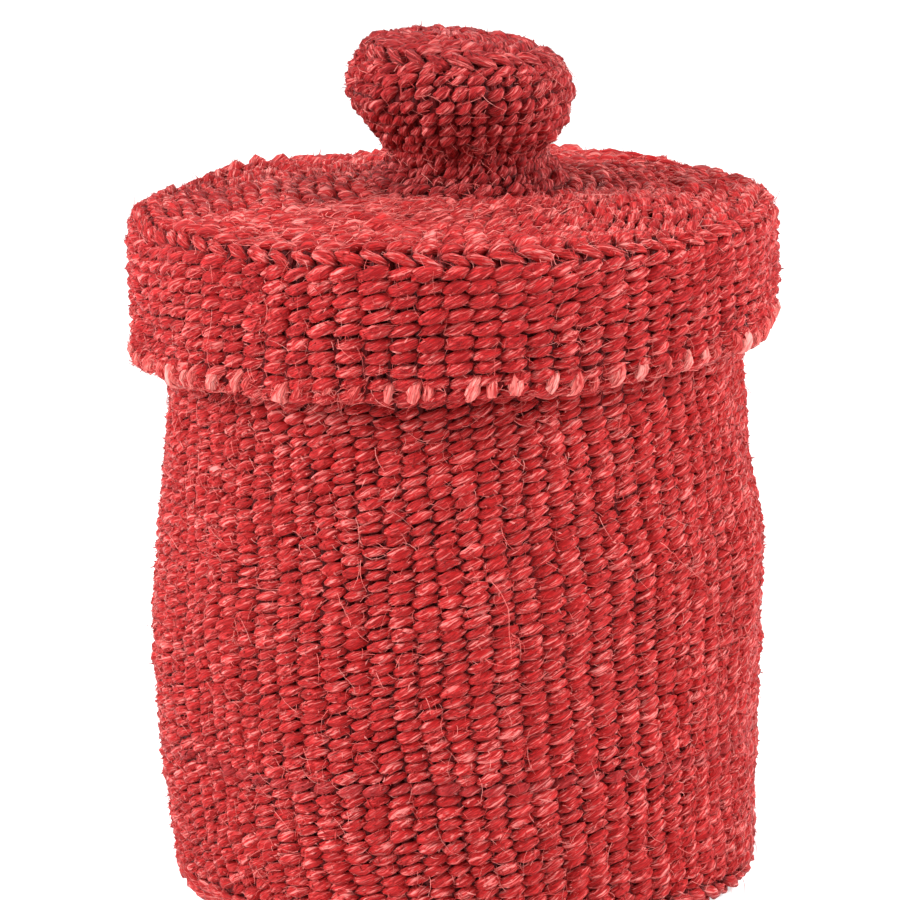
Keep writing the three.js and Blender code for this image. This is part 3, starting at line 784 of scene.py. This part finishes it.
def crossed(name, node, body, count, material, drop=0.0):
    """The start of a base or a lid: a layer of cords side by side, and another laid across it."""
    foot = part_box(node)[0][2] / MM - drop
    reach = ((count - 1) * START_PITCH + 2 * START_CORD) / 2
    lines = []
    for layer in (0, 1):
        for i in range(count):
            off = START_CORD - reach + i * START_PITCH
            half = math.sqrt(max(reach * reach - off * off, 4.0)) - 0.4
            line = []
            for s in np.linspace(-1, 1, CORD_POINTS):
                arch = (0.35 if layer else -0.1) * math.cos(s * 1.3)
                lift = max(foot + START_CORD + layer * LAYER_RISE + arch, START_CORD + LOWEST)
                line.append((off, half * s, lift) if layer else (half * s, off, lift))
            lines.append(line)
    mesh = run_tree(on_routes, routes(lines), name, Sides=10, Cord=START_CORD * MM, Seed=60, Material=material)
    finished(name, mesh, body, "deep_red_sisal", node)


def fuzzy(name, profile, body, density, shortest, longest, fibre=0.1, lift=0.5, curl=0.6, points=4, seed=1):
    """Loose fibres over a profile turned round the axis."""
    mesh = run_tree(
        loose_fibres, turned(profile), name, Density=float(density), Points=points, Shortest=shortest * MM,
        Longest=longest * MM, Fibre=fibre * MM, Lift=lift, Curl=curl, Seed=seed, Material=FIBRE_PINK,
    )
    finished(name, mesh, body, "dyed_red_sisal")


# The basket
BANDS = 4  # of the wall's rows, one piece each
ROWS_IN_BAND = 14
DULL_ROW = 11  # a row of the lowest band that took less dye
WALL_ROW_FOOT = 8.5
WALL_ROW_TOP = 162.3
pitch = (WALL_ROW_TOP - WALL_ROW_FOOT) / (BANDS * ROWS_IN_BAND - 1)
for band in range(BANDS):
    low = WALL_ROW_FOOT + band * ROWS_IN_BAND * pitch
    heights = np.linspace(low, low + (ROWS_IN_BAND - 1) * pitch, 2 * ROWS_IN_BAND)
    line = [(wall_radius(z) - HALF, z) for z in heights]
    first = band == 0  # which stands for the solid
    hidden = band == BANDS - 1  # mostly, under the lid
    twined(
        f"wall_rows_{band + 1}", line, ROWS_IN_BAND, "basket", "dyed_red_sisal", WALL_RED,
        *(["wall_weave"] if first else []), lean=LEAN, rise=0.85, strand=1.44, pinch=0.24, overlap=0.1, uneven=0.18,
        dull=DULL_ROW if first else -1, sides=6 if hidden else 7, nap=180000 if hidden else 310000, seed=10 + band,
    )
wall_line = [(wall_radius(z) - HALF, z) for z in np.linspace(6, 164, 24)]
# Twice as many warps as columns, in near-black red, so that a dark cord lies behind each hole between stitches as
# painted shade
corded(
    "wall_warps", wall_line, "basket", "deep_red_sisal", CORD_SHADE_RED, columns=2 * WARPS, lean=LEAN, cord=1.7, seed=3,
)
crossed("base_crossed_cords", "base_start_cords", "basket", 5, WALL_RED)
twined(
    "base_rows_inner", [(8.7, 2.9), (33.2, 2.9)], 9, "basket", "dyed_red_sisal", WALL_RED, "base_weave",
    columns=KNOB_WARPS, depth=1.3, strand=1.45, pinch=0.45, steps=4, sides=6, seed=21,
)
twined(
    "base_rows_outer", [(36.0, 2.9), (64.8, 2.9)], 10, "basket", "dyed_red_sisal", WALL_RED, depth=1.3, strand=1.45,
    pinch=0.45, steps=3, sides=6, seed=20,
)
twined(
    "base_turn_rows", [(67.6, 3.0), (69.4, 5.4)], 2, "basket", "deep_red_sisal", WALL_RED, "base_turn_row", rise=-0.9,
    depth=1.5, strand=1.5, lean=LEAN, sides=6, seed=22,
)
RIM_MIDDLE = WALL_MOUTH_RADIUS - HALF
rim = [(RIM_MIDDLE + 1.9 * math.cos(a), 163.4 + math.sin(a)) for a in np.linspace(-0.6, 3.74, 11)]
corded(
    "rim_turned_ends", rim, "basket", "deep_red_sisal", LID_RED, "rim_row", cord=1.4, lean=LEAN, uneven=0.12, seed=4,
)

# The lid
SKIRT_MIDDLE = SKIRT_RADIUS - HALF
skirt = [(SKIRT_MIDDLE - 0.5, 136.1), (SKIRT_MIDDLE + 0.3, 149.4)]
twined(
    "skirt_rows_lower", skirt, 5, "lid", "dyed_red_sisal", SKIRT_RED, "lid_skirt_weave", rise=0.65, strand=1.62,
    pinch=0.33, overlap=0.05, uneven=0.18, nap=270000, seed=30,
)
skirt = [(SKIRT_MIDDLE + 0.3, 152.8), (SKIRT_MIDDLE, 166.4)]
twined(
    "skirt_rows_upper", skirt, 5, "lid", "dyed_red_sisal", SKIRT_RED, rise=0.9, strand=1.62, pinch=0.36, uneven=0.2,
    nap=270000, seed=39,
)
skirt_line = [(SKIRT_MIDDLE, z) for z in np.linspace(137, 166, 6)]
skirt_line += [(SKIRT_MIDDLE - 0.4, 168.0), (SKIRT_MIDDLE - 1.8, 169.4), (73.0, 169.9), (70.0, 169.8)]
corded("skirt_warps", skirt_line, "lid", "deep_red_sisal", CORD_SHADE_RED, columns=2 * WARPS, cord=1.75, seed=5)
# Out from the middle of the skirt, and the height
edge = [
    (0.4, 139.6), (1.4, 139.0), (2.2, 138.2), (2.5, 137.2), (2.1, 136.3), (1.0, 135.9), (-0.6, 135.9), (-1.8, 136.4),
    (-2.3, 137.4), (-2.0, 138.6), (-1.0, 139.4),
]
edge = [(SKIRT_MIDDLE + out, z) for out, z in edge]
corded(
    "edge_turned_ends", edge, "lid", "pale_cord_ends", END_PINK, "lid_edge_ends", cord=1.6, slant=0.5, taper=0.2,
    spread=1.4, lumps=0.8, uneven=0.3, sides=10, seed=6,
)
ridge = [(SKIRT_MIDDLE - 0.6, 168.8), (SKIRT_MIDDLE - 1.0, 169.2)]
twined(
    "shoulder_ridge", ridge, 1, "lid", "deep_red_sisal", WALL_RED, "lid_shoulder_strand_1", "lid_shoulder_strand_2",
    rise=-1.35, depth=1.6, strand=1.4, pinch=0.3, nap=340000, seed=31,
)
LID_TOP = [(73.9, 170.0), (71.0, 169.8), (60.0, 170.4), (47.0, 171.3), (43.0, 171.7), (26.5, 172.9)]
top_line = [(71.0, 169.7), (60.0, 170.2), (47.0, 171.1), (43.0, 171.5), (26.5, 172.7), (23.0, 173.6)]
corded("lid_top_warps", top_line, "lid", "deep_red_sisal", CORD_SHADE_RED, cord=1.5, seed=8)
twined(
    "lid_top_outer", LID_TOP[:4], 8, "lid", "dyed_red_sisal", LID_RED, "lid_top_weave", depth=1.5, rise=1.2,
    strand=1.6, pinch=0.33, overlap=0.08, lumps=0.7, uneven=0.3, sides=6, nap=240000, longest=4.5, flake=0.15,
    seed=32,
)
twined(
    "lid_top_inner", LID_TOP[4:], 5, "lid", "dyed_red_sisal", LID_SHADE_RED, columns=54, depth=1.2, rise=1.2,
    strand=1.5, pinch=0.45, overlap=0.14, lumps=0.7, uneven=0.36, sides=6, nap=260000, longest=4.5, flake=0.15,
    seed=33,
)
neck = [(23.2, 173.6), (21.6, 175.8), (18.2, 178.8), (16.8, 181.2), (16.5, 183.2)]
twined(
    "neck_rows", neck, 5, "lid", "dyed_red_sisal", NECK_SHADE_RED, "knob_neck_weave", columns=KNOB_WARPS, depth=1.4,
    rise=1.0, strand=1.3, overlap=0.02, lumps=0.6, uneven=0.45, nap=420000, longest=3.5, flake=0.12, seed=34,
)
knob = [
    (17.0, 185.6), (18.6, 187.6), (21.5, 190.2), (23.8, 193.6), (25.1, 196.2), (25.8, 199.2), (25.2, 201.2),
    (24.4, 203.4),
]
twined(
    "knob_rows", knob, 8, "lid", "dyed_red_sisal", KNOB_SHADE_RED, "knob_side_weave", columns=KNOB_WARPS, depth=1.4,
    rise=1.0, strand=1.28, pinch=0.3, overlap=0.02, lumps=0.6, uneven=0.32, nap=360000, longest=3.5, flake=0.13,
    seed=35,
)
RIDGE_COLUMNS = 26
twined(
    "knob_ridge_lower", [(22.9, 205.4), (22.2, 206.2)], 1, "lid", "dyed_red_sisal", KNOB_SHADE_RED, columns=RIDGE_COLUMNS,
    rise=1.5, depth=1.3, strand=1.5, pinch=0.3, lumps=0.8, steps=8, uneven=0.5, nap=320000, seed=38,
)
twined(
    "knob_ridge", [(21.0, 208.0), (20.3, 208.7)], 1, "lid", "deep_red_sisal", CROWN_RED, "knob_ridge_strand_1",
    "knob_ridge_strand_2", columns=RIDGE_COLUMNS, rise=-1.9, depth=1.4, strand=1.6, pinch=0.3, lumps=0.8, steps=8,
    uneven=0.5, nap=320000, seed=36,
)
crown = [(17.4, 209.6), (14.0, 210.3), (10.0, 210.8), (5.5, 211.0)]
twined(
    "crown_rows", crown, 5, "lid", "dyed_red_sisal", CROWN_RED, "knob_crown_weave", columns=20, depth=1.0, rise=1.2,
    strand=1.5, pinch=0.28, lumps=0.6, uneven=0.4, nap=300000, longest=4.0, flake=0.12, seed=37,
)
knob_line = neck + knob + [(21.5, 206.5)] + crown[:1]
corded("knob_warps", knob_line, "lid", "deep_red_sisal", CORD_SHADE_RED, columns=2 * KNOB_WARPS, cord=1.3, seed=7)
crossed("crown_crossed_cords", "knob_start_cords", "lid", 4, KNOB_SHADE_RED, drop=1.6)

# Loose fibres
wall_skin = [(wall_radius(z) - 0.3, z) for z in np.linspace(3, 136, 14)]
fuzzy("wall_fuzz", wall_skin, "basket", 170000, 1.5, 7.0, lift=0.8, curl=1.1, seed=50)
skirt_skin = [(79.6, 136.0), (79.6, 170.0)]
fuzzy("skirt_fuzz", skirt_skin, "lid", 220000, 1.5, 7.0, lift=0.8, curl=1.1, seed=51)
edge_skin = [(78.8, 134.4), (80.2, 135.2), (80.9, 138.6)]
fuzzy("edge_fuzz", edge_skin, "lid", 550000, 1.5, 4.5, fibre=0.11, lift=0.6, curl=1.3, points=5, seed=54)
top_skin = [(78.2, 170.0), (76.0, 172.0), (60.0, 173.2), (25.0, 175.6)]
fuzzy("lid_top_fuzz", top_skin, "lid", 260000, 1.5, 8.0, lift=0.4, seed=52)
knob_skin = [
    (24, 176), (20.5, 180), (20.2, 184), (23, 188), (27, 195), (28.4, 200), (27, 204), (23, 209), (14, 212), (3, 213),
]
fuzzy("knob_fuzz", knob_skin, "lid", 300000, 1.2, 6.0, seed=53)

STRAY_POINTS = 22
STRAY_GAP = 1.2  # how far a long fibre stands off the wall, and how far that varies
STRAY_SWAY = 0.6
STRAY_SWAYS = 7  # how fast it sways to and from the wall along its way, in radians
STRAY_WAVES = 9  # and from side to side
STRAY_TREMBLE = 0.25


def stray(start, end, bow, wave, number):
    """A long fibre near the front of the wall, from one [across, height] to another, bowed to one side."""
    rng = np.random.default_rng(number)
    line = []
    for t in np.linspace(0, 1, STRAY_POINTS):
        x = start[0] + (end[0] - start[0]) * t + bow * math.sin(t * math.pi)
        x += wave * math.sin(t * STRAY_WAVES + number)
        z = start[1] + (end[1] - start[1]) * t + STRAY_TREMBLE * rng.normal()
        away = wall_radius(z) + STRAY_GAP + STRAY_SWAY * math.sin(t * STRAY_SWAYS + number)
        line.append((x, -math.sqrt(away * away - x * x), z))
    return line


strays = [
    stray((47.5, 97), (60.5, 79), 1.5, 0.5, 1),
    stray((60.0, 82), (62.5, 45), 4.0, 0.6, 2),
    stray((73.0, 38), (63.0, 12), 3.0, 0.6, 3),
    stray((-30.0, 88), (-22.0, 77), -1.5, 0.4, 4),
    stray((8.0, 93), (12.0, 72), 2.0, 0.5, 5),
]
long_strays = run_tree(
    on_routes, routes(strays), "long_strays", Sides=3, Cord=0.13 * MM, Taper=0.5, Seed=61, Material=FIBRE_PINK,
)
finished("long_strays", long_strays, "basket", "dyed_red_sisal")

# The camera, the floor and the light, in metres
LENS = 305.0  # millimetres
AIM = (-0.0015, 0, 0.108)
STAND = (-0.0015, -1.85, 0.49)
ROLL = math.radians(-0.9)
FLOOR_REACH = 4
FLOOR_GREY = 0.9
FLOOR_GLOW = 0.55
WORLD_LIGHT = 0.33  # against 1.0 where the camera sees it
LAMP_AIM = (0, 0, 0.1)
LAMP_SIZE = 0.8

camera_data = bpy.data.cameras.new("camera")
camera = bpy.data.objects.new("camera", camera_data)
bpy.context.scene.collection.objects.link(camera)
bpy.context.scene.camera = camera
camera_data.sensor_width = 36
camera_data.lens = LENS
place = Vector(STAND)
look = (Vector(AIM) - place).normalized()
right = look.cross(Vector((0, 0, 1))).normalized()
top = right.cross(look)
turn_to = Matrix((right, top, -look)).transposed() @ Matrix.Rotation(ROLL, 3, "Z")
camera.matrix_world = Matrix.Translation(place) @ turn_to.to_4x4()


def seen(nodes, links):
    """1 for what the camera sees, straight, mirrored or through glass, and 0 for what only gives light."""
    ray = nodes.new("ShaderNodeLightPath")
    total = ray.outputs["Is Camera Ray"]
    for name in ("Is Glossy Ray", "Is Transmission Ray"):
        add = nodes.new("ShaderNodeMath")
        add.operation = "ADD"
        add.use_clamp = True
        links.new(total, add.inputs[0])
        links.new(ray.outputs[name], add.inputs[1])
        total = add.outputs[0]
    return total


floor_mesh = bpy.data.meshes.new("floor")
corners = [(x * FLOOR_REACH, y * FLOOR_REACH, 0) for x, y in ((-1, -1), (1, -1), (1, 1), (-1, 1))]
floor_mesh.from_pydata(corners, [], [(0, 1, 2, 3)])
floor = bpy.data.objects.new("floor", floor_mesh)
bpy.context.scene.collection.objects.link(floor)
floor_material = bpy.data.materials.new("white_floor")
floor_material.use_nodes = True
nodes = floor_material.node_tree.nodes
links = floor_material.node_tree.links
nodes.clear()
output = nodes.new("ShaderNodeOutputMaterial")
diffuse = nodes.new("ShaderNodeBsdfDiffuse")
diffuse.inputs["Color"].default_value = (FLOOR_GREY, FLOOR_GREY, FLOOR_GREY, 1)
glow = nodes.new("ShaderNodeEmission")
scale = nodes.new("ShaderNodeMath")
scale.operation = "MULTIPLY"
scale.inputs[1].default_value = FLOOR_GLOW
links.new(seen(nodes, links), scale.inputs[0])
links.new(scale.outputs[0], glow.inputs["Strength"])
both = nodes.new("ShaderNodeAddShader")
links.new(diffuse.outputs[0], both.inputs[0])
links.new(glow.outputs[0], both.inputs[1])
links.new(both.outputs[0], output.inputs["Surface"])
floor_mesh.materials.append(floor_material)

world = bpy.data.worlds.new("studio")
bpy.context.scene.world = world
world.use_nodes = True
nodes = world.node_tree.nodes
links = world.node_tree.links
background = nodes["Background"]
background.inputs["Color"].default_value = (1, 1, 1, 1)
level = nodes.new("ShaderNodeMapRange")
level.inputs["To Min"].default_value = WORLD_LIGHT
level.inputs["To Max"].default_value = 1.0
links.new(seen(nodes, links), level.inputs["Value"])
links.new(level.outputs[0], background.inputs["Strength"])


def lamp(name, place, watts):
    """A square lamp that points at the basket."""
    data = bpy.data.lights.new(name, "AREA")
    data.shape = "SQUARE"
    data.size = LAMP_SIZE
    data.energy = watts
    made = bpy.data.objects.new(name, data)
    bpy.context.scene.collection.objects.link(made)
    made.location = place
    made.rotation_euler = (Vector(LAMP_AIM) - Vector(place)).to_track_quat("-Z", "Y").to_euler()


lamp("left", (-1.4, -0.5, 1.0), 38)
lamp("right", (1.4, -0.4, 0.9), 32)
lamp("above", (-0.2, -0.1, 1.7), 7)

bpy.context.scene.view_settings.view_transform = "Standard"
